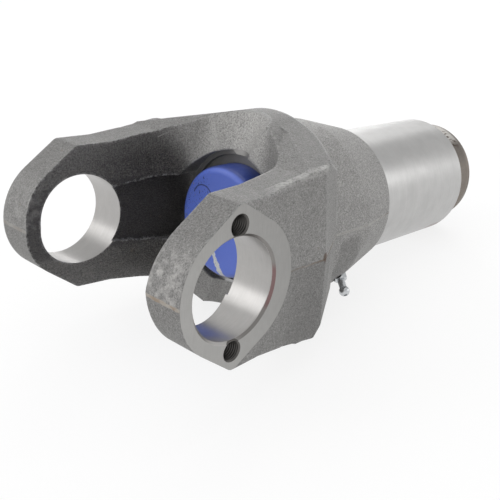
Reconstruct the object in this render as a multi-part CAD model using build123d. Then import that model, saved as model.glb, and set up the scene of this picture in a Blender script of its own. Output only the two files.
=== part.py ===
from build123d import *
from math import cos, radians, sin, tan
import os

# Frame: origin where the barrel axis crosses the axis of the cross bores.
# +X runs along the barrel to its splined end, the ears stand at -Y and +Y,
# and the parting plane of the forging dies is z = 0. All sizes are in millimetres.

# Reach of a cutting form past the metal, in plan and in height
BEYOND = 40.0
REACH_OVER = 8.0

# Depth by which one turned or drafted body is sunk into its neighbour
SINK = 1.0

# Cross bores and ears
CROSS_BORE = 49.2
ACROSS_EARS = 139.7
EAR_RIM_RADIUS = 32.6
EAR_BACK_RADIUS = 33.4
EAR_BACK_SHIFT = 3.0
EAR_CORNER_SHIFT = 0.8
EAR_CORNER_RADIUS = 4.5
BORE_OUTER_CHAMFER = 1.4

# Cap screw holes in each ear
SCREW_SPACING = 60.0
SCREW_TAP_DRILL = 9.2
SCREW_COUNTERSINK = 10.9
SCREW_DEPTH = 16.0
DRILL_POINT_ANGLE = 118.0

# Milled pads on the ears
PAD_PROUD = 0.25
PAD_SPREAD = 22.0
PAD_DEPTH = 4.0

# Forged arms
ARM_OUTER_WIDTH = ACROSS_EARS - 2 * PAD_PROUD
ARM_OUTER_DRAFT = 5.5
ARM_LENGTH = 63.0
ARM_TOP_AT_EAR = 39.6
ARM_TOP_FLAT = 20.0
ARM_TOP_CROWN = 0.2
ARM_TOP_RISE = 64.0
ARM_TOP_AT_HUB = 45.6
ARM_TOP_AT_END = 42.0
ARM_END = 94.2
ARM_HALF_WIDTH_AT_END = 51.2
ARM_BACK_CONE_SLOPE = 0.7

# Pocket between the arms
POCKET_HALF_WIDTH = 44.5
POCKET_TAPER = 5.3
POCKET_DRAFT = 8.0
POCKET_BACK = 59.0
POCKET_CORNER_RADIUS = 24.0
LAND_RECESS = 3.5
LAND_AT_EAR = 13.5
LAND_AT_THROAT = 20.0
LAND_SLOPE_END = 61.0
LAND_CORNER_RADIUS = 6.0

# Shoulders, flat from the hub's crown down to the arms' outer edges
SHOULDER_CROWN_ANGLE = 20.0
SHOULDER_EDGE_HEIGHT = 43.5
SHOULDER_START = 48.0
SHOULDER_FULL = 76.0
SHOULDER_START_HEIGHT = 43.5
SHOULDER_FULL_HEIGHT = 54.0

# Throat
THROAT_FACE = 70.0
BELL_CENTRE = 58.8
BELL_TIP_RADIUS = 0.5
BELL_LIP_RADIUS = 22.0
BELL_LIP_HEIGHT = 57.5
BELL_DRAFT = 26.5
SPOTFACE_RADIUS = 36.5
SPOTFACE_DEPTH = 2.7
CLEARING_RADIUS = 39.0
CLEARING_START = 45.0

# Throat plug
PLUG_RADIUS = 31.2
PLUG_CLEARANCE = 0.1
PLUG_PROUD = 15.7
PLUG_SEAT_DEPTH = 11.0
PLUG_WALL = 3.0
PLUG_EDGE_RADIUS = 4.0
PLUG_INNER_EDGE_RADIUS = 3.0

# Hub and neck
HUB_RADIUS = 59.3
HUB_START = 48.0
HUB_BACK_FALL = 3.0
NECK_START = 88.0
NECK_STEP = 7.8
NECK_RADIUS = HUB_RADIUS - NECK_STEP
NECK_FLAT_DEPTH = 1.5
NECK_HALF_WIDTH = NECK_RADIUS - NECK_FLAT_DEPTH
NECK_TAPER_START = 120.0
COLLAR_RADIUS = 42.9
COLLAR_END = 155.8

# Machined barrel
BARREL_RADIUS = 38.9
BARREL_END = 247.5
END_BAND_RADIUS = 33.6
PART_END = 268.0
EDGE_CHAMFER = 1.0
BARREL_ROOT_FILLET = 1.5

# Bore of the barrel
SPLINE_TEETH = 16
SPLINE_ROOT_RADIUS = 29.5
SPLINE_TIP_RADIUS = 26.5
SPLINE_SPACE = 5.6
SPLINE_START = 130.0
SPLINE_END = 256.0
RELIEF_RADIUS = 30.2

# Grease fitting, screwed into the neck and leaning back towards the ears
GREASE_PLACE = 121.0
GREASE_ANGLE = -138.0
GREASE_LEAN = -20.0
GREASE_SEAT_DEPTH = 1.5
GREASE_SEAT_RADIUS = NECK_RADIUS - GREASE_SEAT_DEPTH
GREASE_SPOT_RADIUS = 5.5
GREASE_SPOT_HEIGHT = 10.0
GREASE_HOLE_DEPTH = 12.0
GREASE_THREAD_RADIUS = 3.2
GREASE_THREAD_LENGTH = 6.0
GREASE_HEX_ACROSS = 7.0
GREASE_HEX_HEIGHT = 3.6
GREASE_CROWN_FOOT_RADIUS = 6.0
GREASE_CROWN_TOP_RADIUS = 3.5
GREASE_STEM_RADIUS = 2.2
GREASE_BALL_RADIUS = 3.1
GREASE_BALL_HEIGHT = 10.8
GREASE_TIP_HEIGHT = 13.4
GREASE_TIP_DIMPLE = 1.0
GREASE_DUCT_RADIUS = 1.0
GREASE_DUCT_LENGTH = 30.0


def mirrored(points):
    return points + [(x, -y) for x, y in reversed(points)]


def revolved(profile):
    return revolve(make_face(Polyline(*profile, close=True)), Axis.X, 360)


def both_ways(plan, height, draft):
    upper = extrude(plan, amount=height, taper=draft)
    return upper + mirror(upper, about=Plane.XY)


def ear_outline():
    corner_z = ARM_TOP_AT_EAR - EAR_CORNER_RADIUS
    rounds = [Circle(EAR_RIM_RADIUS).edge(), (Pos(EAR_BACK_SHIFT, 0) * Circle(EAR_BACK_RADIUS)).edge()]
    for side in (-1, 1):
        corner = Pos(EAR_CORNER_SHIFT, side * corner_z) * Circle(EAR_CORNER_RADIUS)
        rounds.append(corner.edge())
    return make_hull(rounds)


def arm_outline():
    half = [
        (0.0, ARM_TOP_AT_EAR),
        (ARM_TOP_FLAT, ARM_TOP_AT_EAR + ARM_TOP_CROWN),
        (ARM_TOP_RISE, ARM_TOP_AT_HUB),
        (ARM_END, ARM_TOP_AT_END),
    ]
    return make_face(Polyline(*mirrored(half), close=True))


def arm_plan():
    half_arm = ARM_OUTER_WIDTH / 2
    slope = (half_arm - ARM_HALF_WIDTH_AT_END) / (ARM_END - ARM_LENGTH)
    half = [
        (-EAR_RIM_RADIUS - BEYOND, half_arm),
        (ARM_LENGTH, half_arm),
        (ARM_END + BEYOND, ARM_HALF_WIDTH_AT_END - slope * BEYOND),
    ]
    return make_face(Polyline(*mirrored(half), close=True))


def straight_plan():
    half_arm = ARM_OUTER_WIDTH / 2
    half = [(-EAR_RIM_RADIUS - BEYOND, half_arm), (ARM_END + 2 * BEYOND, half_arm)]
    return make_face(Polyline(*mirrored(half), close=True))


def drafted_arms(height):
    drafted = extrude(arm_plan(), amount=height, taper=ARM_OUTER_DRAFT)
    sides = extrude(straight_plan(), amount=height, taper=ARM_OUTER_DRAFT)
    lower = sides & extrude(arm_plan(), amount=-height)
    return mirror(drafted, about=Plane.XY) + lower


def shoulders():
    crown = radians(SHOULDER_CROWN_ANGLE)
    upper = [
        (HUB_RADIUS * sin(crown), HUB_RADIUS * cos(crown)),
        (ARM_OUTER_WIDTH / 2, SHOULDER_EDGE_HEIGHT),
    ]
    right = upper + [(y, -z) for y, z in reversed(upper)]
    section = right + [(-y, z) for y, z in reversed(right)]
    bar = extrude(Plane.YZ * make_face(Polyline(*section, close=True)), amount=ARM_END)
    half = [
        (SHOULDER_START, SHOULDER_START_HEIGHT),
        (SHOULDER_FULL, SHOULDER_FULL_HEIGHT),
        (SHOULDER_FULL, HUB_RADIUS + REACH_OVER),
        (ARM_END, HUB_RADIUS + REACH_OVER),
    ]
    side_view = Plane.XZ * make_face(Polyline(*mirrored(half), close=True))
    return bar & extrude(side_view, amount=ACROSS_EARS, both=True)


def neck_plan():
    middle = (NECK_START + COLLAR_END + BEYOND) / 2
    return Pos(middle, 0) * Rectangle(COLLAR_END + BEYOND - NECK_START, 2 * NECK_HALF_WIDTH)


def side_prism():
    arms = extrude(Plane.XZ * arm_outline(), amount=ACROSS_EARS, both=True)
    ears = extrude(Plane.XZ * ear_outline(), amount=ACROSS_EARS, both=True)
    return arms + ears


def back_cone():
    top = ACROSS_EARS
    start = ARM_END - (top - HUB_RADIUS) / ARM_BACK_CONE_SLOPE
    mouth = -EAR_RIM_RADIUS - BEYOND
    return revolved([(mouth, 0), (mouth, top), (start, top), (ARM_END, HUB_RADIUS), (ARM_END, 0)])


def hub():
    return revolved([
        (HUB_START, 0),
        (HUB_START, HUB_RADIUS),
        (ARM_END, HUB_RADIUS),
        (ARM_END + HUB_BACK_FALL, NECK_RADIUS - SINK),
        (ARM_END + HUB_BACK_FALL, 0),
    ])


def neck():
    return revolved([
        (NECK_START, 0),
        (NECK_START, NECK_RADIUS),
        (NECK_TAPER_START, NECK_RADIUS),
        (COLLAR_END, COLLAR_RADIUS),
        (COLLAR_END, 0),
    ])


def ear_pads():
    outline = ear_outline()
    spread = offset(outline, PAD_SPREAD)
    pads = []
    for side in (-1, 1):
        face = Plane.XZ.offset(side * ACROSS_EARS / 2) * outline
        foot = Plane.XZ.offset(side * (ACROSS_EARS / 2 - PAD_DEPTH)) * spread
        pads.append(loft([face, foot]))
    return pads


def pocket_half_width(x):
    return POCKET_HALF_WIDTH - x * tan(radians(POCKET_TAPER))


def pocket_plan(back, grown, corner_radius):
    mouth = -EAR_RIM_RADIUS - BEYOND
    half = [(mouth, pocket_half_width(mouth) + grown), (back, pocket_half_width(back) + grown)]
    plan = make_face(Polyline(*mirrored(half), close=True))
    corners = plan.vertices().sort_by(Axis.X)[-2:]
    return fillet(corners, corner_radius)


def throat_bell():
    slope = tan(radians(BELL_DRAFT))
    top = HUB_RADIUS + REACH_OVER
    bottom = BELL_LIP_HEIGHT - (BELL_LIP_RADIUS - BELL_TIP_RADIUS) / slope
    top_radius = BELL_TIP_RADIUS + (top - bottom) * slope
    cone = Cone(BELL_TIP_RADIUS, top_radius, top - bottom)
    upper = Pos(BELL_CENTRE, 0, (bottom + top) / 2) * cone
    return [upper, Rot(180, 0, 0) * upper]


def pocket():
    plan = pocket_plan(POCKET_BACK, 0, POCKET_CORNER_RADIUS)
    return both_ways(plan, HUB_RADIUS + REACH_OVER, -POCKET_DRAFT)


def trimmed_land():
    wide = pocket_plan(THROAT_FACE, LAND_RECESS, LAND_CORNER_RADIUS)
    wall = extrude(wide, amount=CLEARING_RADIUS, both=True)
    rise = (LAND_AT_THROAT - LAND_AT_EAR) / LAND_SLOPE_END
    half = [(0, LAND_AT_EAR), (THROAT_FACE + BEYOND, LAND_AT_EAR + rise * (THROAT_FACE + BEYOND))]
    side_view = Plane.XZ * make_face(Polyline(*mirrored(half), close=True))
    return wall & extrude(side_view, amount=ACROSS_EARS, both=True)


def turned_cut(start, end, radius):
    return revolved([(start, 0), (start, radius), (end, radius), (end, 0)])


def throat_cuts():
    floor = THROAT_FACE + SPOTFACE_DEPTH
    return [
        turned_cut(CLEARING_START, THROAT_FACE, CLEARING_RADIUS),
        turned_cut(0, floor, SPOTFACE_RADIUS),
        turned_cut(0, floor + PLUG_SEAT_DEPTH, PLUG_RADIUS + PLUG_CLEARANCE),
    ]


def cross_bores():
    radius = CROSS_BORE / 2
    depth = 2 * BORE_OUTER_CHAMFER
    cuts = [Rot(90, 0, 0) * Cylinder(radius, ACROSS_EARS + 2 * BEYOND)]
    for side in (-1, 1):
        mouth = Rot(side * 90, 0, 0) * Cone(radius + depth, radius, depth)
        cuts.append(Pos(0, side * ACROSS_EARS / 2, 0) * mouth)
    return cuts


def forging():
    height = HUB_RADIUS + REACH_OVER
    plan = drafted_arms(height)
    prism = side_prism()
    cone = back_cone()
    body = prism & plan & cone
    body += shoulders() & plan & cone
    body += hub() & plan
    body += neck() & both_ways(neck_plan(), height, ARM_OUTER_DRAFT)
    for pad in ear_pads():
        body += pad & prism
    return body


def machined_barrel():
    return revolved([
        (COLLAR_END - SINK, 0),
        (COLLAR_END - SINK, BARREL_RADIUS + BARREL_ROOT_FILLET),
        (COLLAR_END, BARREL_RADIUS + BARREL_ROOT_FILLET),
        (COLLAR_END + BARREL_ROOT_FILLET, BARREL_RADIUS),
        (BARREL_END - EDGE_CHAMFER, BARREL_RADIUS),
        (BARREL_END, BARREL_RADIUS - EDGE_CHAMFER),
        (BARREL_END, END_BAND_RADIUS),
        (PART_END - EDGE_CHAMFER, END_BAND_RADIUS),
        (PART_END, END_BAND_RADIUS - EDGE_CHAMFER),
        (PART_END, 0),
    ])


def spline_space_section():
    inner = SPLINE_TIP_RADIUS - SINK
    outer = SPLINE_ROOT_RADIUS + SINK
    space = Pos((inner + outer) / 2, 0) * Rectangle(outer - inner, SPLINE_SPACE)
    spaces = Sketch() + [Rot(0, 0, i * 360 / SPLINE_TEETH) * space for i in range(SPLINE_TEETH)]
    return (Circle(SPLINE_TIP_RADIUS) + spaces) & Circle(SPLINE_ROOT_RADIUS)


def barrel_bore():
    seat = THROAT_FACE + SPOTFACE_DEPTH + PLUG_SEAT_DEPTH
    lead = SPLINE_ROOT_RADIUS - SPLINE_TIP_RADIUS
    ends = revolved([
        (seat - SINK, 0),
        (seat - SINK, RELIEF_RADIUS),
        (SPLINE_START, RELIEF_RADIUS),
        (SPLINE_START + lead, SPLINE_TIP_RADIUS),
        (SPLINE_END - lead, SPLINE_TIP_RADIUS),
        (SPLINE_END, RELIEF_RADIUS),
        (PART_END - EDGE_CHAMFER, RELIEF_RADIUS),
        (PART_END + SINK, RELIEF_RADIUS + EDGE_CHAMFER + SINK),
        (PART_END + SINK, 0),
    ])
    section = Plane.YZ.offset(SPLINE_START) * spline_space_section()
    return ends + extrude(section, amount=SPLINE_END - SPLINE_START)


def screw_hole():
    radius = SCREW_TAP_DRILL / 2
    sink = (SCREW_COUNTERSINK - SCREW_TAP_DRILL) / 2
    point = radius / tan(radians(DRILL_POINT_ANGLE / 2))
    profile = Polyline(
        (0, SINK),
        (radius + sink + SINK, SINK),
        (radius, -sink),
        (radius, -SCREW_DEPTH),
        (0, -SCREW_DEPTH - point),
        close=True,
    )
    return revolve(Plane.XZ * make_face(profile), Axis.Z, 360)


def screw_holes():
    holes = []
    for side in (-1, 1):
        for end in (-1, 1):
            place = Pos(0, side * ACROSS_EARS / 2, end * SCREW_SPACING / 2) * Rot(-side * 90, 0, 0)
            holes.append(place * screw_hole())
    return holes


def grease_frame():
    angle = radians(GREASE_ANGLE)
    radial = Vector(0, cos(angle), sin(angle))
    lean = radians(GREASE_LEAN)
    out = radial * cos(lean) + Vector(sin(lean), 0, 0)
    seat = Vector(GREASE_PLACE, 0, 0) + radial * GREASE_SEAT_RADIUS
    return Plane(seat, x_dir=out.cross(Vector(0, sin(angle), -cos(angle))), z_dir=out)


def grease_hole():
    frame = grease_frame()
    spot = Pos(0, 0, GREASE_SPOT_HEIGHT / 2) * Cylinder(GREASE_SPOT_RADIUS, GREASE_SPOT_HEIGHT)
    tapped = Pos(0, 0, -GREASE_HOLE_DEPTH / 2) * Cylinder(GREASE_THREAD_RADIUS, GREASE_HOLE_DEPTH)
    duct = Pos(0, 0, -GREASE_DUCT_LENGTH / 2) * Cylinder(GREASE_DUCT_RADIUS, GREASE_DUCT_LENGTH)
    return [frame * spot, frame * tapped, frame * duct]


def forged_yoke():
    body = forging()
    body -= pocket()
    for bell in throat_bell():
        body -= bell
    body -= trimmed_land()
    body += machined_barrel()
    for cut in throat_cuts() + [barrel_bore()] + cross_bores() + screw_holes() + grease_hole():
        body -= cut
    return body


def throat_plug():
    floor = THROAT_FACE + SPOTFACE_DEPTH
    front = floor - PLUG_PROUD
    seat = floor + PLUG_SEAT_DEPTH
    cup = Pos((front + seat) / 2, 0, 0) * Rot(0, 90, 0) * Cylinder(PLUG_RADIUS, seat - front)
    cup = fillet(cup.edges().sort_by(Axis.X)[0], PLUG_EDGE_RADIUS)
    hollow_front = front + PLUG_WALL
    hollow = Pos((hollow_front + seat) / 2, 0, 0) * Rot(0, 90, 0) * Cylinder(
        PLUG_RADIUS - PLUG_WALL, seat - hollow_front)
    hollow = fillet(hollow.edges().sort_by(Axis.X)[0], PLUG_INNER_EDGE_RADIUS)
    return cup - hollow


def grease_fitting():
    thread = Pos(0, 0, -GREASE_THREAD_LENGTH / 2) * Cylinder(GREASE_THREAD_RADIUS, GREASE_THREAD_LENGTH)
    nut = extrude(RegularPolygon(GREASE_HEX_ACROSS / 2, 6, major_radius=False), amount=GREASE_HEX_HEIGHT)
    crown = Cone(GREASE_CROWN_FOOT_RADIUS, GREASE_CROWN_TOP_RADIUS, GREASE_HEX_HEIGHT)
    nut &= Pos(0, 0, GREASE_HEX_HEIGHT / 2) * crown
    stem = Pos(0, 0, GREASE_BALL_HEIGHT / 2) * Cylinder(GREASE_STEM_RADIUS, GREASE_BALL_HEIGHT)
    below_tip = Box(GREASE_TIP_HEIGHT, GREASE_TIP_HEIGHT, GREASE_TIP_HEIGHT)
    ball = Pos(0, 0, GREASE_BALL_HEIGHT) * Sphere(GREASE_BALL_RADIUS)
    ball &= Pos(0, 0, GREASE_TIP_HEIGHT / 2) * below_tip
    dimple = Cylinder(GREASE_DUCT_RADIUS, 2 * GREASE_TIP_DIMPLE)
    fitting = thread + nut + stem + ball - Pos(0, 0, GREASE_TIP_HEIGHT) * dimple
    return grease_frame() * fitting


def nodes():
    return {
        "forged_yoke": forged_yoke(),
        "throat_plug": throat_plug(),
        "grease_fitting": grease_fitting(),
    }


if __name__ == "__main__":
    os.makedirs("parts", exist_ok=True)
    for name, solid in nodes().items():
        export_step(solid, f"parts/{name}.step")
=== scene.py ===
import bpy
import math
from mathutils import Matrix, Vector


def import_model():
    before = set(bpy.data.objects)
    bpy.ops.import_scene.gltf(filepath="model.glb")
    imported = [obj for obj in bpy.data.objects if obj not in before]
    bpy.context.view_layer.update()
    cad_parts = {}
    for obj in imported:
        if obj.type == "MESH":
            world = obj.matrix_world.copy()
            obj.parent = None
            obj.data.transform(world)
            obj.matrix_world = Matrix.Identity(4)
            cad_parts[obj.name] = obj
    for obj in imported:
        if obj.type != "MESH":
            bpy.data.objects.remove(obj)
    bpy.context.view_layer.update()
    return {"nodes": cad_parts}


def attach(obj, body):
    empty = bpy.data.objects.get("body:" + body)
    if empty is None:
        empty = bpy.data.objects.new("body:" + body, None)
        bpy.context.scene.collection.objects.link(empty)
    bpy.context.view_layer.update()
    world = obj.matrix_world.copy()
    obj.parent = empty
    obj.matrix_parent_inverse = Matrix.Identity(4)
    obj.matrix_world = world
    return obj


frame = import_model()
nodes = frame["nodes"]

# Sizes of the solids, in millimetres
EAR_FACE = 69.85
BORE_RADIUS = 24.6
SCREW_PLACE = 30.0
SCREW_RADIUS = 4.6
THROAT_FACE = 70.0
THROAT_FLOOR = 72.7
CLEARING_RADIUS = 39.0
PLUG_FACE = 57.0
HUB_RADIUS = 59.3
HUB_BACK = 94.2
COLLAR_END = 155.8
BARREL_END = 247.5
BAND_RADIUS = 33.6
PART_END = 268.0

# Limits that part one kind of surface from the next, a little past the surfaces, in millimetres
BORE_EDGE = BORE_RADIUS + 0.12
BORE_MOUTH = 26.6
BORE_MOUTH_DEPTH = 2.0
BORE_BOTTOM = 30.0
SCREW_EDGE = SCREW_RADIUS + 0.15
SCREW_MOUTH = 5.8
SCREW_MOUTH_DEPTH = 1.3
SCREW_BOTTOM = 51.0
BARREL_INSIDE = 32.1
BARREL_OUTSIDE = 32.2

# Thread pitches, in millimetres
BAND_PITCH = 1.5
SCREW_PITCH = 1.25

# Edge roundings and the height of the relief, in metres
FORGED_ROUNDING = 0.0022
CUT_ROUNDING = 0.0003
RELIEF = 0.00032

# The floor's slope under the hub and the barrel, and how far it reaches in metres
REST_PITCH = 0.1325
FLOOR_REACH = 6.0

# Colours of the forged skin
FORGED = (0.262, 0.258, 0.252)
# Dark scale on the arms' inner walls and land, with painted shade between the arms, and painted glints on it
COOL_SCALE_AND_SHADE = (0.050, 0.046, 0.047)
WARM_SCALE_AND_SHADE = (0.074, 0.069, 0.062)
PAINTED_GLINT = (0.25, 0.235, 0.22)
LAND_SCALE_AND_SHADE = (0.034, 0.031, 0.034)
WORN_EDGE = (0.47, 0.465, 0.46)
WORN_SHOULDER = (0.48, 0.48, 0.475)
SCRAPED = (0.50, 0.495, 0.48)
RUBBED = (0.58, 0.565, 0.55)
LEDGE = (0.46, 0.455, 0.44)
RUST_SPOT = (0.105, 0.070, 0.052)
RUST = (0.23, 0.165, 0.11)

# Colours of the flash line, plain and brown: on the arms, by the shoulder, on a tip, on the far tip
PLAIN_FLASH = ((0.38, 0.365, 0.345), (0.20, 0.165, 0.135), (0.50, 0.465, 0.42), (0.40, 0.385, 0.365))
BROWN_FLASH = ((0.22, 0.20, 0.18), (0.14, 0.095, 0.070), (0.38, 0.30, 0.225), (0.34, 0.315, 0.29))

# Colours of the machined faces
TURNED = (0.48, 0.476, 0.47)
MILLED = (0.36, 0.355, 0.345)
OILED = (0.20, 0.12, 0.105)
BORED = (0.425, 0.415, 0.405)
CHAMFERED = (0.21, 0.20, 0.19)
STAINED = (0.17, 0.085, 0.085)
TAPPED_SHADE = (0.11, 0.105, 0.10)
SHADED_THROAT_TOP = (0.27, 0.265, 0.26)
THROAT_LOW = (0.46, 0.46, 0.46)
BAND = (0.20, 0.175, 0.155)
NICK = (0.075, 0.050, 0.038)
SPLINED = (0.34, 0.33, 0.31)

WHITE = (1.0, 1.0, 1.0)


# Node graphs

class Graph:
    def __init__(self, name):
        self.material = bpy.data.materials.new(name)
        self.material.use_nodes = True
        self.tree = self.material.node_tree
        self.tree.nodes.clear()
        self.out = self.tree.nodes.new("ShaderNodeOutputMaterial")
        self.shader = self.tree.nodes.new("ShaderNodeBsdfPrincipled")
        self.tree.links.new(self.shader.outputs[0], self.out.inputs[0])

    def plug(self, socket, value):
        if isinstance(value, bpy.types.NodeSocket):
            self.tree.links.new(value, socket)
        elif isinstance(value, tuple) and len(value) == 3 and socket.type == "RGBA":
            socket.default_value = value + (1.0,)
        else:
            socket.default_value = value

    def node(self, kind, **inputs):
        made = self.tree.nodes.new(kind)
        for key, value in inputs.items():
            self.plug(made.inputs[key.replace("_", " ")], value)
        return made

    # Arithmetic
    def calc(self, operation, first, second=0.0):
        made = self.tree.nodes.new("ShaderNodeMath")
        made.operation = operation
        self.plug(made.inputs[0], first)
        self.plug(made.inputs[1], second)
        return made.outputs[0]

    def scaled(self, value, factor):
        return self.calc("MULTIPLY", value, factor)

    def linear(self, value, slope, start):
        return self.calc("ADD", self.scaled(value, slope), start)

    def away(self, value, middle):
        return self.calc("ABSOLUTE", self.calc("SUBTRACT", value, middle))

    def length(self, first, second):
        first_square = self.calc("MULTIPLY", first, first)
        second_square = self.calc("MULTIPLY", second, second)
        return self.calc("SQRT", self.calc("ADD", first_square, second_square))

    # Masks between 0 and 1
    def step(self, value, low, high):
        made = self.tree.nodes.new("ShaderNodeMapRange")
        made.interpolation_type = "SMOOTHSTEP"
        for place, part in enumerate((value, low, high, 0.0, 1.0)):
            self.plug(made.inputs[place], part)
        return made.outputs[0]

    def above(self, value, limit):
        return self.calc("GREATER_THAN", value, limit)

    def below(self, value, limit):
        return self.calc("LESS_THAN", value, limit)

    def inverse(self, mask):
        return self.calc("SUBTRACT", 1.0, mask)

    def either(self, *masks):
        total = masks[0]
        for mask in masks[1:]:
            total = self.calc("MAXIMUM", total, mask)
        return total

    def both(self, *masks):
        total = masks[0]
        for mask in masks[1:]:
            total = self.calc("MULTIPLY", total, mask)
        return total

    # Vectors, mixed values and colours
    def split(self, vector):
        return self.node("ShaderNodeSeparateXYZ", Vector=vector).outputs[:3]

    def join(self, x, y, z):
        return self.node("ShaderNodeCombineXYZ", X=x, Y=y, Z=z).outputs[0]

    def mixed(self, factor, first, second):
        made = self.tree.nodes.new("ShaderNodeMix")
        self.plug(made.inputs[0], factor)
        self.plug(made.inputs[2], first)
        self.plug(made.inputs[3], second)
        return made.outputs[0]

    def blend(self, factor, first, second, kind="MIX"):
        made = self.tree.nodes.new("ShaderNodeMix")
        made.data_type = "RGBA"
        made.blend_type = kind
        self.plug(made.inputs[0], factor)
        self.plug(made.inputs[6], first)
        self.plug(made.inputs[7], second)
        return made.outputs[2]

    def partly(self, mask, amount, first, second):
        return self.blend(self.scaled(mask, amount), first, second)

    def shade(self, colour, tone):
        return self.blend(1.0, colour, self.join(tone, tone, tone), "MULTIPLY")

    def bump(self, height, distance, normal=None):
        made = self.node("ShaderNodeBump", Height=height, Distance=distance, Strength=1.0)
        if normal is not None:
            self.plug(made.inputs["Normal"], normal)
        return made.outputs[0]


# A finish that knows its place on the object, in millimetres

class Finish(Graph):
    def __init__(self, name):
        super().__init__(name)
        millimetres = self.tree.nodes.new("ShaderNodeVectorMath")
        millimetres.operation = "SCALE"
        millimetres.inputs["Scale"].default_value = 1000.0
        self.plug(millimetres.inputs[0], self.tree.nodes.new("ShaderNodeTexCoord").outputs["Object"])
        self.place = millimetres.outputs[0]
        self.x, self.y, self.z = self.split(self.place)

    def noise(self, scale, detail, roughness):
        return self.noise_at(self.place, scale, detail, roughness)

    def noise_at(self, place, scale, detail, roughness):
        made = self.node("ShaderNodeTexNoise", Vector=place, Scale=scale, Detail=detail, Roughness=roughness)
        return made.outputs[0]

    def stretched_noise(self, along_x, along_y, along_z, detail=3.0, roughness=0.6):
        stretched = self.join(self.scaled(self.x, along_x), self.scaled(self.y, along_y),
                              self.scaled(self.z, along_z))
        return self.noise_at(stretched, 1.0, detail, roughness)

    def show(self, colour, metallic, roughness, normal):
        self.plug(self.shader.inputs["Base Color"], colour)
        self.plug(self.shader.inputs["Metallic"], metallic)
        self.plug(self.shader.inputs["Roughness"], roughness)
        self.plug(self.shader.inputs["Normal"], normal)


# Dark nicks on the near upper side of the end band

def nicks(g):
    spots = g.step(g.stretched_noise(0.12, 0.62, 0.30, 2.0, 0.5), 0.53, 0.58)
    upper = g.step(g.z, 22.0, 26.0)
    near = g.step(g.y, 6.0, 0.0)
    start = g.step(g.x, BARREL_END + 7.0, BARREL_END + 10.0)
    end = g.step(g.x, BARREL_END + 17.0, BARREL_END + 13.0)
    return g.both(spots, upper, near, start, end)


# Forged steel with its machined faces

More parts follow.
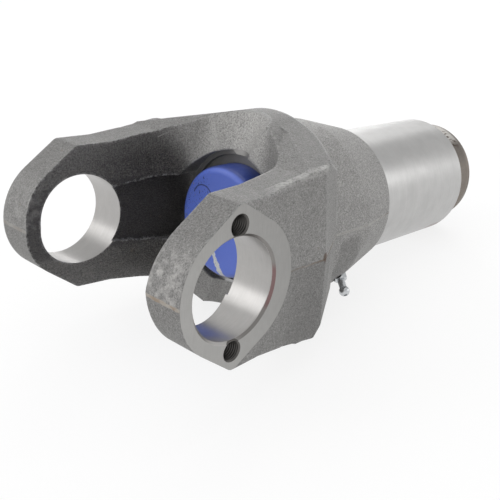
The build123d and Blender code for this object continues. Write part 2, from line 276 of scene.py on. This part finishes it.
class ForgingFinish(Finish):
    def __init__(self):
        super().__init__("forging_finish")
        self.find_surfaces()
        self.find_edges()
        self.find_patterns()
        self.find_scaled_and_shaded_walls()
        self.find_cutting_lines()
        colour = self.blend(self.machined, self.forged_colour(), self.machined_colour())
        metallic = self.mixed(self.machined, 0.55, self.mixed(self.ear_face, 0.95, 0.8))
        self.show(colour, metallic, self.roughness(), self.bump(self.relief(), RELIEF, self.rounded))

    # Where each kind of surface is
    def find_surfaces(self):
        self.side = self.calc("ABSOLUTE", self.y)
        self.high = self.calc("ABSOLUTE", self.z)
        self.near = self.below(self.y, 0.0)
        self.above_screw = self.calc("SUBTRACT", self.high, SCREW_PLACE)
        self.from_barrel_axis = self.length(self.y, self.z)
        self.from_bore_axis = self.length(self.x, self.z)
        self.ear_face = self.above(self.side, EAR_FACE - 0.03)
        self.bore = self.hole(self.from_bore_axis, BORE_EDGE, BORE_MOUTH, BORE_MOUTH_DEPTH, BORE_BOTTOM)
        self.screw = self.hole(self.length(self.x, self.above_screw), SCREW_EDGE, SCREW_MOUTH,
                               SCREW_MOUTH_DEPTH, SCREW_BOTTOM)
        self.throat = self.both(self.above(self.x, THROAT_FACE - 0.05),
                                self.below(self.x, THROAT_FLOOR + 0.1),
                                self.below(self.from_barrel_axis, CLEARING_RADIUS + 0.1))
        self.barrel = self.both(self.above(self.x, COLLAR_END + 0.02),
                                self.above(self.from_barrel_axis, BARREL_OUTSIDE))
        self.band = self.both(self.barrel, self.above(self.x, BARREL_END - 0.02),
                              self.below(self.from_barrel_axis, BAND_RADIUS + 0.5))
        self.inside = self.both(self.above(self.x, THROAT_FLOOR + 0.1),
                                self.below(self.from_barrel_axis, BARREL_INSIDE))
        self.machined = self.either(self.ear_face, self.bore, self.screw, self.throat, self.barrel,
                                    self.inside)
        self.forged = self.inverse(self.machined)

    def hole(self, from_axis, edge, mouth, mouth_depth, bottom):
        wall = self.below(from_axis, edge)
        flare = self.both(self.below(from_axis, mouth), self.above(self.side, EAR_FACE - mouth_depth))
        return self.both(self.either(wall, flare), self.above(self.side, bottom),
                         self.inverse(self.ear_face))

    # Rounded edges, and how far they turn away from the flat faces beside them
    def find_edges(self):
        radius = self.mixed(self.machined, FORGED_ROUNDING, CUT_ROUNDING)
        rounding = self.node("ShaderNodeBevel", Radius=radius)
        rounding.samples = 6
        self.rounded = rounding.outputs[0]
        flat = self.tree.nodes.new("ShaderNodeNewGeometry").outputs["Normal"]
        self.facing_y, self.facing_z = self.split(flat)[1:]
        turn = self.tree.nodes.new("ShaderNodeVectorMath")
        turn.operation = "DOT_PRODUCT"
        self.plug(turn.inputs[0], self.rounded)
        self.plug(turn.inputs[1], flat)
        self.turn = turn.outputs["Value"]

    # Shot-blasted grain, and patches of a few millimetres
    def find_patterns(self):
        self.grain = self.noise(1.2, 3.0, 0.65)
        fine = self.noise(2.8, 2.0, 0.6)
        self.skin = self.calc("ADD", self.scaled(self.grain, 0.6), self.scaled(fine, 0.4))
        self.mottle = self.noise(0.22, 4.0, 0.6)

    # The inner sides of the arms, where dark scale is left, with painted shade between the arms
    def find_scaled_and_shaded_walls(self):
        limit = self.linear(self.x, -0.055, 53.5)
        inner = self.step(self.side, limit, self.calc("SUBTRACT", limit, 2.0))
        crown = self.both(self.below(self.away(self.from_barrel_axis, HUB_RADIUS), 0.3),
                          self.above(self.high, 40.0))
        off_middle = self.step(self.side, 26.0, 31.0)
        slanted = self.calc("ADD", self.x, self.scaled(self.calc("SUBTRACT", self.high, 24.0), 0.45))
        ragged = self.calc("ADD", slanted, self.scaled(self.mottle, 8.0))
        ahead = self.step(ragged, 76.0, 57.0)
        upright = self.step(self.calc("ABSOLUTE", self.facing_y), 0.25, 0.6)
        self.scaled_and_shaded_wall = self.both(self.forged, inner, self.inverse(crown), off_middle, ahead, upright)

    # Lines left by the cutters: milled on the ears, bored in the bores, turned elsewhere
    def find_cutting_lines(self):
        milled = self.stretched_noise(3.4, 0.0, 0.10)
        bored = self.stretched_noise(0.12, 3.2, 0.12)
        turned = self.stretched_noise(3.0, 0.035, 0.035)
        self.lines = self.mixed(self.bore, self.mixed(self.ear_face, turned, milled), bored)

    # Painted light and shade on parts of the forging: painted shade on the arm tops, the lower outer faces
    # and the neck panel, painted light on the bell and the neck, and a lighter lip under the throat
    def painted_light_by_zone(self):
        shaded_arm_top = self.both(self.step(self.facing_z, 0.70, 0.92), self.step(self.x, 112.0, 92.0))
        lit_bell = self.both(self.step(self.side, 28.0, 16.0), self.above(self.x, 50.0),
                         self.above(self.z, 17.0), self.step(self.facing_z, 0.85, 0.6),
                         self.below(self.from_barrel_axis, HUB_RADIUS - 0.4))
        lit_neck = self.step(self.x, 90.0, 104.0)
        shaded_panel = self.both(self.step(self.x, 101.0, 104.0), self.step(self.x, 124.0, 118.0),
                          self.step(self.z, -3.0, -7.0), self.step(self.z, -31.0, -26.0),
                          self.above(self.side, 30.0))
        shaded_low_face = self.both(self.above(self.side, 60.0), self.step(self.z, 1.2, -0.4),
                             self.step(self.x, 20.0, 60.0))
        lip = self.both(self.below(self.side, 36.0), self.step(self.z, -32.0, -36.0),
                        self.above(self.x, 52.0), self.below(self.x, 92.0))
        tone = 1.0
        for zone, change in ((shaded_arm_top, -0.20), (lit_bell, 0.60), (lit_neck, 0.21), (shaded_panel, -0.30),
                             (shaded_low_face, -0.20), (lip, 0.25)):
            tone = self.calc("ADD", tone, self.scaled(zone, change))
        return tone

    def skin_colour(self):
        skin_tone = self.linear(self.skin, 3.4, -0.70)
        mottle_tone = self.linear(self.mottle, 0.32, 0.84)
        cloud_tone = self.linear(self.noise(0.035, 3.0, 0.55), 0.2, 0.9)
        colour = self.shade(FORGED, self.both(skin_tone, mottle_tone, cloud_tone))
        # Painted light and shade by zone
        return self.shade(colour, self.painted_light_by_zone())

    # Dark scale with painted shade on the inner walls, fading towards the tips and the walls' top and bottom
    # edges
    def scale_and_painted_shade(self, colour):
        patches = self.linear(self.mottle, 0.45, 0.60)
        fading_at_tips = self.linear(self.step(self.x, 34.0, -4.0), -0.42, 1.0)
        fading_at_edges = self.linear(self.step(self.high, 27.0, 46.0), -0.50, 1.0)
        darkened = self.both(self.scaled_and_shaded_wall, patches, fading_at_tips, fading_at_edges)
        scale = self.blend(self.step(self.z, 4.0, -14.0), COOL_SCALE_AND_SHADE, WARM_SCALE_AND_SHADE)
        scale = self.shade(scale, self.calc("MAXIMUM", self.linear(self.skin, 7.0, -2.5), 0.15))
        colour = self.blend(darkened, colour, scale)
        # Painted glints on the scale
        painted_glints = self.both(self.scaled_and_shaded_wall, self.step(self.skin, 0.50, 0.60))
        return self.partly(painted_glints, 0.42, colour, PAINTED_GLINT)

    # The darkest land along the parting plane, on the walls and in the recess between them: dark scale with
    # painted shade
    def land_scale_and_painted_shade(self, colour):
        on_wall = self.both(self.scaled_and_shaded_wall, self.step(self.high, 21.0, 17.0))
        in_recess = self.both(self.forged, self.step(self.high, 19.5, 17.5), self.above(self.x, 36.0),
                              self.step(self.side, 20.0, 24.0), self.below(self.side, 50.0),
                              self.below(self.x, 80.0))
        return self.partly(self.either(on_wall, in_recess), 0.55, colour, LAND_SCALE_AND_SHADE)

    def worn_edges(self, colour):
        edge = self.both(self.forged, self.step(self.turn, 0.998, 0.93))
        worn = self.both(edge, self.step(self.noise(0.5, 3.0, 0.65), 0.42, 0.62))
        colour = self.partly(worn, 0.75, colour, WORN_EDGE)
        shoulder = self.both(self.forged, self.step(self.turn, 0.9994, 0.988), self.step(self.x, 74.0, 80.0),
                             self.step(self.x, 99.0, 95.0), self.above(self.z, 6.0))
        return self.partly(shoulder, 0.7, colour, WORN_SHOULDER)

    # A scraped line along the near arm's upper outer edge
    def scrape(self, colour):
        from_edge = self.away(self.z, self.linear(self.x, 0.075, 39.8))
        scraped = self.both(self.forged, self.step(from_edge, 2.6, 0.5), self.below(self.y, -61.0),
                            self.step(self.x, 16.0, 30.0), self.step(self.x, 84.0, 74.0),
                            self.step(self.noise(0.45, 4.0, 0.7), 0.36, 0.58))
        return self.partly(scraped, 0.55, colour, SCRAPED)

    # The trimmed flash line along the parting plane, which lies lower on the tips
    def flash_line(self, colour):
        past_bore = self.below(self.x, -20.0)
        wander = self.scaled(self.calc("SUBTRACT", self.noise(0.3, 2.0, 0.5), 0.5), 1.2)
        height = self.calc("ADD", self.calc("ADD", self.z, wander), past_bore)
        near_split = self.calc("ABSOLUTE", height)
        outside = self.both(self.forged, self.inverse(self.scaled_and_shaded_wall), self.above(self.side, 40.0))
        tip = self.both(outside, past_bore)
        line = self.step(near_split, self.mixed(tip, 0.62, 1.15), self.mixed(tip, 0.25, 0.6))
        plain = self.flash_colour(tip, *PLAIN_FLASH)
        brown = self.flash_colour(tip, *BROWN_FLASH)
        patches = self.step(self.noise(0.12, 3.0, 0.6), 0.40, 0.58)
        colour = self.partly(self.both(outside, line), 0.85, colour, self.blend(patches, plain, brown))
        colour = self.rust_spot(colour)
        neck_ledge = self.both(self.forged, self.above(self.x, 97.0), self.below(self.x, 140.0),
                               self.step(near_split, 1.1, 0.4))
        return self.partly(neck_ledge, 0.42, colour, LEDGE)

    def flash_colour(self, tip, on_arm, by_shoulder, on_tip, on_far_tip):
        rustier = self.both(self.step(self.x, 40.0, 60.0), self.step(self.x, 92.0, 80.0))
        colour = self.blend(rustier, on_arm, by_shoulder)
        colour = self.blend(tip, colour, on_tip)
        return self.blend(self.both(tip, self.above(self.y, 0.0)), colour, on_far_tip)

    def rust_spot(self, colour):
        from_middle = self.length(self.calc("SUBTRACT", self.x, 63.5), self.calc("SUBTRACT", self.z, 0.8))
        ragged = self.calc("ADD", from_middle, self.scaled(self.mottle, 3.0))
        spot = self.both(self.forged, self.below(self.y, -60.0), self.step(ragged, 4.6, 3.0))
        return self.partly(spot, 0.85, colour, RUST_SPOT)

    def rust_freckles(self, colour):
        freckles = self.both(self.forged, self.step(self.noise(0.17, 4.0, 0.7), 0.66, 0.74))
        return self.partly(freckles, 0.32, colour, RUST)

    # Bright rubbed patches on the ears' tips, most on the near one
    def rubbed_tips(self, colour):
        tip = self.both(self.forged, self.below(self.x, -6.0), self.step(self.z, -1.4, 1.0),
                        self.step(self.z, 26.0, 12.0), self.above(self.side, 47.0))
        blotches = self.step(self.noise(0.24, 4.0, 0.7), 0.40, 0.70)
        amount = self.mixed(self.near, 0.26, 0.85)
        return self.blend(self.both(tip, blotches, amount), colour, RUBBED)

    def forged_colour(self):
        colour = self.skin_colour()
        for mark in (self.scale_and_painted_shade, self.land_scale_and_painted_shade, self.worn_edges, self.scrape, self.flash_line,
                     self.rust_freckles, self.rubbed_tips):
            colour = mark(colour)
        return colour

    def machined_tone(self):
        line_tone = self.linear(self.lines, 0.28, 0.86)
        fine_clouds = self.linear(self.mottle, 0.14, 0.93)
        barrel_clouds = self.linear(self.noise(0.10, 4.0, 0.6), 0.26, 0.85)
        clouds = self.mixed(self.barrel, fine_clouds, barrel_clouds)
        # Painted light falloff on the near ear face, darker towards the hub and the top
        slant = self.calc("ADD", self.scaled(self.x, 0.0030), self.scaled(self.z, 0.0018))
        painted_falloff = self.inverse(self.both(self.ear_face, self.near, slant))
        return self.both(line_tone, clouds, painted_falloff)

    # An oily smudge under the near side of the barrel's end
    def oil(self, colour):
        oiled = self.both(self.barrel, self.near, self.step(self.z, -25.5, -28.0),
                          self.step(self.x, 229.0, 236.0))
        return self.partly(oiled, 0.55, colour, OILED)

    def bore_chamfers(self, colour):
        chamfer = self.both(self.bore, self.above(self.from_bore_axis, BORE_EDGE),
                            self.step(self.x, -8.0, 8.0))
        stain = self.both(self.near, self.step(self.x, 18.0, 22.0), self.step(self.z, -17.0, -12.0),
                          self.step(self.z, 8.0, 3.0))
        return self.partly(chamfer, 0.85, colour, self.blend(stain, CHAMFERED, STAINED))

    def machined_colour(self):
        colour = self.blend(self.ear_face, TURNED, MILLED)
        colour = self.oil(colour)
        colour = self.blend(self.bore, colour, BORED)
        colour = self.bore_chamfers(colour)
        # Screw holes painted nearly black as shade
        colour = self.blend(self.screw, colour, TAPPED_SHADE)
        # The throat's ring is painted darker above the axis as shade
        colour = self.blend(self.throat, colour, self.blend(self.below(self.z, 0.0), SHADED_THROAT_TOP, THROAT_LOW))
        colour = self.blend(self.band, colour, BAND)
        colour = self.blend(self.both(self.band, nicks(self)), colour, NICK)
        colour = self.blend(self.inside, colour, SPLINED)
        return self.shade(colour, self.machined_tone())

    def roughness(self):
        forged = self.mixed(self.scaled_and_shaded_wall, self.linear(self.grain, 0.12, 0.52), 0.30)
        cut = self.mixed(self.ear_face, self.mixed(self.bore, 0.36, 0.30), 0.46)
        cut = self.mixed(self.throat, cut, 0.55)
        return self.mixed(self.machined, forged, cut)

    # Heights of the skin, the cutting lines and the screw threads
    def relief(self):
        skin = self.calc("ADD", self.scaled(self.skin, 1.6), self.scaled(self.mottle, 1.2))
        skin = self.both(skin, self.linear(self.scaled_and_shaded_wall, 4.5, 1.0))
        height = self.mixed(self.machined, skin, self.scaled(self.lines, 0.06))
        around = self.calc("DIVIDE", self.calc("ARCTAN2", self.x, self.above_screw), 2 * math.pi)
        along = self.calc("DIVIDE", self.side, SCREW_PITCH)
        thread = self.calc("PINGPONG", self.calc("ADD", along, around), 0.5)
        threaded = self.both(self.screw, self.below(self.side, EAR_FACE - 0.9))
        return self.mixed(threaded, height, self.scaled(thread, 3.2))


# Blue throat plug with a stroke of white paint, and painted shade on its side and its upper face

def paint_stroke(g, face):
    wobble = g.scaled(g.calc("SUBTRACT", g.noise(0.35, 3.0, 0.6), 0.5), 3.2)
    down = g.scaled(g.calc("ADD", g.z, 17.0), -1.0)
    bow = g.scaled(g.both(down, down), -0.013)
    middle = g.calc("ADD", g.linear(down, -0.48, 4.4), bow)
    off_middle = g.calc("ABSOLUTE", g.calc("ADD", g.calc("SUBTRACT", g.y, middle), wobble))
    past_edge = g.calc("SUBTRACT", off_middle, g.linear(down, 0.10, 1.2))
    ragged = g.step(g.noise(1.1, 3.0, 0.7), 0.30, 0.42)
    return g.both(face, g.step(past_edge, 0.35, -0.35), g.step(down, -2.0, 0.5), ragged)


def plug_marks(g, face, colour):
    far_side = g.above(g.y, 9.0)
    from_middle = g.length(g.calc("SUBTRACT", g.y, 14.2), g.calc("SUBTRACT", g.z, 11.0))
    arc = g.both(face, g.step(g.away(from_middle, 7.4), 0.55, 0.2), g.above(g.z, 13.0))
    specks = g.both(face, g.step(g.noise(0.8, 3.0, 0.75), 0.60, 0.64), far_side, g.above(g.z, -12.0))
    tan_spots = g.both(face, g.step(g.noise(0.42, 3.0, 0.7), 0.64, 0.67), far_side)
    colour = g.partly(arc, 0.75, colour, (0.012, 0.016, 0.045))
    colour = g.partly(specks, 0.8, colour, (0.02, 0.024, 0.06))
    return g.partly(tan_spots, 0.7, colour, (0.30, 0.28, 0.26))


def plug_material():
    g = Finish("plug_finish")
    face = g.step(g.x, PLUG_FACE + 2.2, PLUG_FACE + 0.6)
    # The plug's side, going into the bore, is painted darker as shade
    clean = g.blend(face, (0.036, 0.064, 0.270), (0.148, 0.238, 0.840))
    scuffed = g.blend(face, (0.080, 0.130, 0.440), (0.180, 0.265, 0.860))
    colour = g.partly(g.step(g.noise(0.09, 4.0, 0.6), 0.45, 0.75), 0.35, clean, scuffed)
    shaded_upper_face = g.both(face, g.step(g.z, -6.0, 20.0))
    colour = g.partly(shaded_upper_face, 0.38, colour, (0.040, 0.070, 0.300))
    paint = paint_stroke(g, face)
    colour = g.blend(paint, plug_marks(g, face, colour), (0.84, 0.85, 0.86))
    roughness = g.mixed(paint, g.linear(g.noise(0.2, 3.0, 0.6), 0.14, 0.33), 0.6)
    ripple = g.calc("ADD", g.noise(0.5, 2.0, 0.5), g.scaled(paint, 0.8))
    g.show(colour, 0.0, roughness, g.bump(ripple, 0.00015))
    return g.material


# Zinc plate of the grease fitting

def plated_material():
    g = Finish("fitting_finish")
    fine = g.noise(3.0, 2.0, 0.6)
    colour = g.blend(g.noise(0.5, 3.0, 0.6), (0.46, 0.48, 0.50), (0.64, 0.65, 0.66))
    g.show(colour, 1.0, g.linear(fine, 0.14, 0.14), g.bump(fine, 0.00004))
    return g.material


# Brown steel of the end band's thread, with a painted highlight along its top and a painted darker
# reflection below it

def thread_material():
    g = Finish("band_thread_finish")
    stain = g.noise(0.12, 4.0, 0.65)
    crest = g.step(g.length(g.y, g.z), BAND_RADIUS - 0.1, BAND_RADIUS + 0.28)
    root_colour = g.blend(stain, (0.12, 0.10, 0.088), (0.19, 0.165, 0.145))
    crest_colour = g.blend(stain, (0.25, 0.22, 0.19), (0.37, 0.34, 0.31))
    colour = g.blend(crest, root_colour, crest_colour)
    # Painted darker reflection, and a painted highlight along the top
    painted_dark_reflection = g.both(g.step(g.z, 12.0, 16.0), g.step(g.z, 29.0, 25.0))
    colour = g.partly(painted_dark_reflection, 0.35, colour, (0.15, 0.145, 0.14))
    colour = g.partly(g.step(g.z, 25.0, 28.5), 0.8, colour, (0.62, 0.605, 0.58))
    colour = g.blend(nicks(g), colour, NICK)
    g.show(colour, 0.85, g.linear(stain, 0.16, 0.34), g.bump(g.noise(1.4, 2.0, 0.6), 0.00008))
    return g.material


def add_object(name, data):
    made = bpy.data.objects.new(name, data)
    bpy.context.scene.collection.objects.link(made)
    return made


# Helical thread around the barrel's axis, which fades into the wall at both ends

def helix(name, start, end, pitch, inner, outer, steps, taper=1.5):
    place = Matrix.Rotation(math.radians(90), 4, "Y")
    turns = (end - start) / pitch
    profile = ((-0.44, inner), (0.0, outer), (0.44, inner))
    vertices = []
    faces = []
    for i in range(int(turns * steps) + 1):
        part = i / steps
        angle = 2 * math.pi * part
        along = start + pitch * part
        fade = max(0.0, min(1.0, part / taper, (turns - part) / taper))
        for shift, radius in profile:
            kept = inner + (radius - inner) * fade
            turned = Vector((kept * math.cos(angle), kept * math.sin(angle), along + shift * pitch))
            vertices.append((place @ turned) / 1000)
        if i:
            a = 3 * (i - 1)
            b = 3 * i
            faces.append((a, a + 1, b + 1, b))
            faces.append((a + 1, a + 2, b + 2, b + 1))
    mesh = bpy.data.meshes.new(name)
    mesh.from_pydata(vertices, [], faces)
    mesh.update()
    return add_object(name, mesh)


nodes["forged_yoke"].data.materials[0] = ForgingFinish().material
nodes["throat_plug"].data.materials[0] = plug_material()
nodes["grease_fitting"].data.materials[0] = plated_material()

band_thread = helix("end_band_thread", BARREL_END + 1.5, PART_END - 2.0, BAND_PITCH, BAND_RADIUS - 0.15,
                    BAND_RADIUS + 0.35, steps=96)
band_thread.data.materials.append(thread_material())
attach(band_thread, "root")


# Shaders that light the object in one way, and that the eye and mirrors see in another

def seen_directly(tree):
    path = tree.nodes.new("ShaderNodeLightPath")
    total = path.outputs["Is Camera Ray"]
    for kind in ("Is Glossy Ray", "Is Transmission Ray"):
        made = tree.nodes.new("ShaderNodeMath")
        made.operation = "MAXIMUM"
        tree.links.new(total, made.inputs[0])
        tree.links.new(path.outputs[kind], made.inputs[1])
        total = made.outputs[0]
    return total


def mix_shaders(tree, first, second):
    made = tree.nodes.new("ShaderNodeMixShader")
    tree.links.new(first.outputs[0], made.inputs[1])
    tree.links.new(second.outputs[0], made.inputs[2])
    return made


def show_directly(tree, lighting, shown, out):
    pick = mix_shaders(tree, lighting, shown)
    tree.links.new(seen_directly(tree), pick.inputs[0])
    tree.links.new(pick.outputs[0], out.inputs[0])


# Pale floor, which touches the hub's edge and the barrel's end

def floor_material():
    g = Graph("floor_finish")
    g.shader.inputs["Base Color"].default_value = (0.40, 0.40, 0.40, 1.0)
    g.shader.inputs["Roughness"].default_value = 0.95
    g.shader.inputs["Specular IOR Level"].default_value = 0.0
    paper = g.node("ShaderNodeBsdfDiffuse", Color=WHITE)
    glow = g.node("ShaderNodeEmission", Color=WHITE, Strength=1.0)
    pale = mix_shaders(g.tree, paper, glow)
    pale.inputs[0].default_value = 0.80
    show_directly(g.tree, g.shader, pale, g.out)
    return g.material


def floor_height(x):
    return (-HUB_RADIUS + REST_PITCH * (x * 1000 - HUB_BACK)) / 1000


def floor():
    around = ((-1, -1), (1, -1), (1, 1), (-1, 1))
    corners = [(x * FLOOR_REACH, y * FLOOR_REACH, floor_height(x * FLOOR_REACH)) for x, y in around]
    mesh = bpy.data.meshes.new("floor")
    mesh.from_pydata(corners, [], [(0, 1, 2, 3)])
    mesh.materials.append(floor_material())
    made = add_object("floor", mesh)


# White surroundings, which look a little darker towards the top

def world():
    made = bpy.data.worlds.new("studio")
    bpy.context.scene.world = made
    made.use_nodes = True
    tree = made.node_tree
    tree.nodes.clear()
    out = tree.nodes.new("ShaderNodeOutputWorld")
    light = tree.nodes.new("ShaderNodeBackground")
    light.inputs[0].default_value = WHITE + (1.0,)
    light.inputs[1].default_value = 0.76
    shown = tree.nodes.new("ShaderNodeBackground")
    shown.inputs[0].default_value = WHITE + (1.0,)
    heading = tree.nodes.new("ShaderNodeSeparateXYZ")
    fall = tree.nodes.new("ShaderNodeMapRange")
    fall.interpolation_type = "SMOOTHSTEP"
    for place, value in enumerate((0.0, 0.12, 0.6, 1.0, 0.68)):
        fall.inputs[place].default_value = value
    tree.links.new(tree.nodes.new("ShaderNodeTexCoord").outputs["Generated"], heading.inputs[0])
    tree.links.new(heading.outputs[2], fall.inputs[0])
    tree.links.new(fall.outputs[0], shown.inputs[1])
    show_directly(tree, light, shown, out)


def lamp(name, place, target, width, height, power):
    data = bpy.data.lights.new(name, "AREA")
    data.shape = "RECTANGLE"
    data.size = width
    data.size_y = height
    data.energy = power
    made = add_object(name, data)
    made.location = place
    made.rotation_euler = (Vector(target) - Vector(place)).to_track_quat("-Z", "Y").to_euler()


# What the lamps point at, in metres
EARS = (0.0, 0.0, 0.0)
HUB = (0.1, 0.0, 0.0)
BARREL = (0.2, 0.0, 0.0)

floor()
world()
lamp("overhead", (0.1, 0.2, 1.3), HUB, 1.4, 1.4, 3.4)
lamp("high_right", (1.05, 0.5, 0.85), BARREL, 0.7, 0.6, 1.3)
lamp("left", (-1.0, 0.85, 0.72), EARS, 1.05, 0.8, 4.0)
lamp("right", (1.1, -1.05, 0.55), BARREL, 0.5, 0.35, 2.2)
lamp("behind", (1.2, 1.1, 0.75), BARREL, 0.6, 0.4, 3.5)

# Camera, with its own axes and its place
view = bpy.data.cameras.new("photo_view")
view.sensor_width = 36.0
view.lens = 56.75
view.clip_start = 0.01
camera = add_object("photo_view", view)
across = Vector((0.6945, -0.7163, 0.0685))
upward = Vector((0.2070, 0.2900, 0.9344))
backward = Vector((-0.68918, -0.63469, 0.34957))
spot = Vector((-0.230156, -0.288336, 0.137799))
camera.matrix_world = Matrix((
    (across.x, upward.x, backward.x, spot.x),
    (across.y, upward.y, backward.y, spot.y),
    (across.z, upward.z, backward.z, spot.z),
    (0.0, 0.0, 0.0, 1.0),
))
bpy.context.scene.camera = camera
bpy.context.scene.view_settings.view_transform = "Standard"
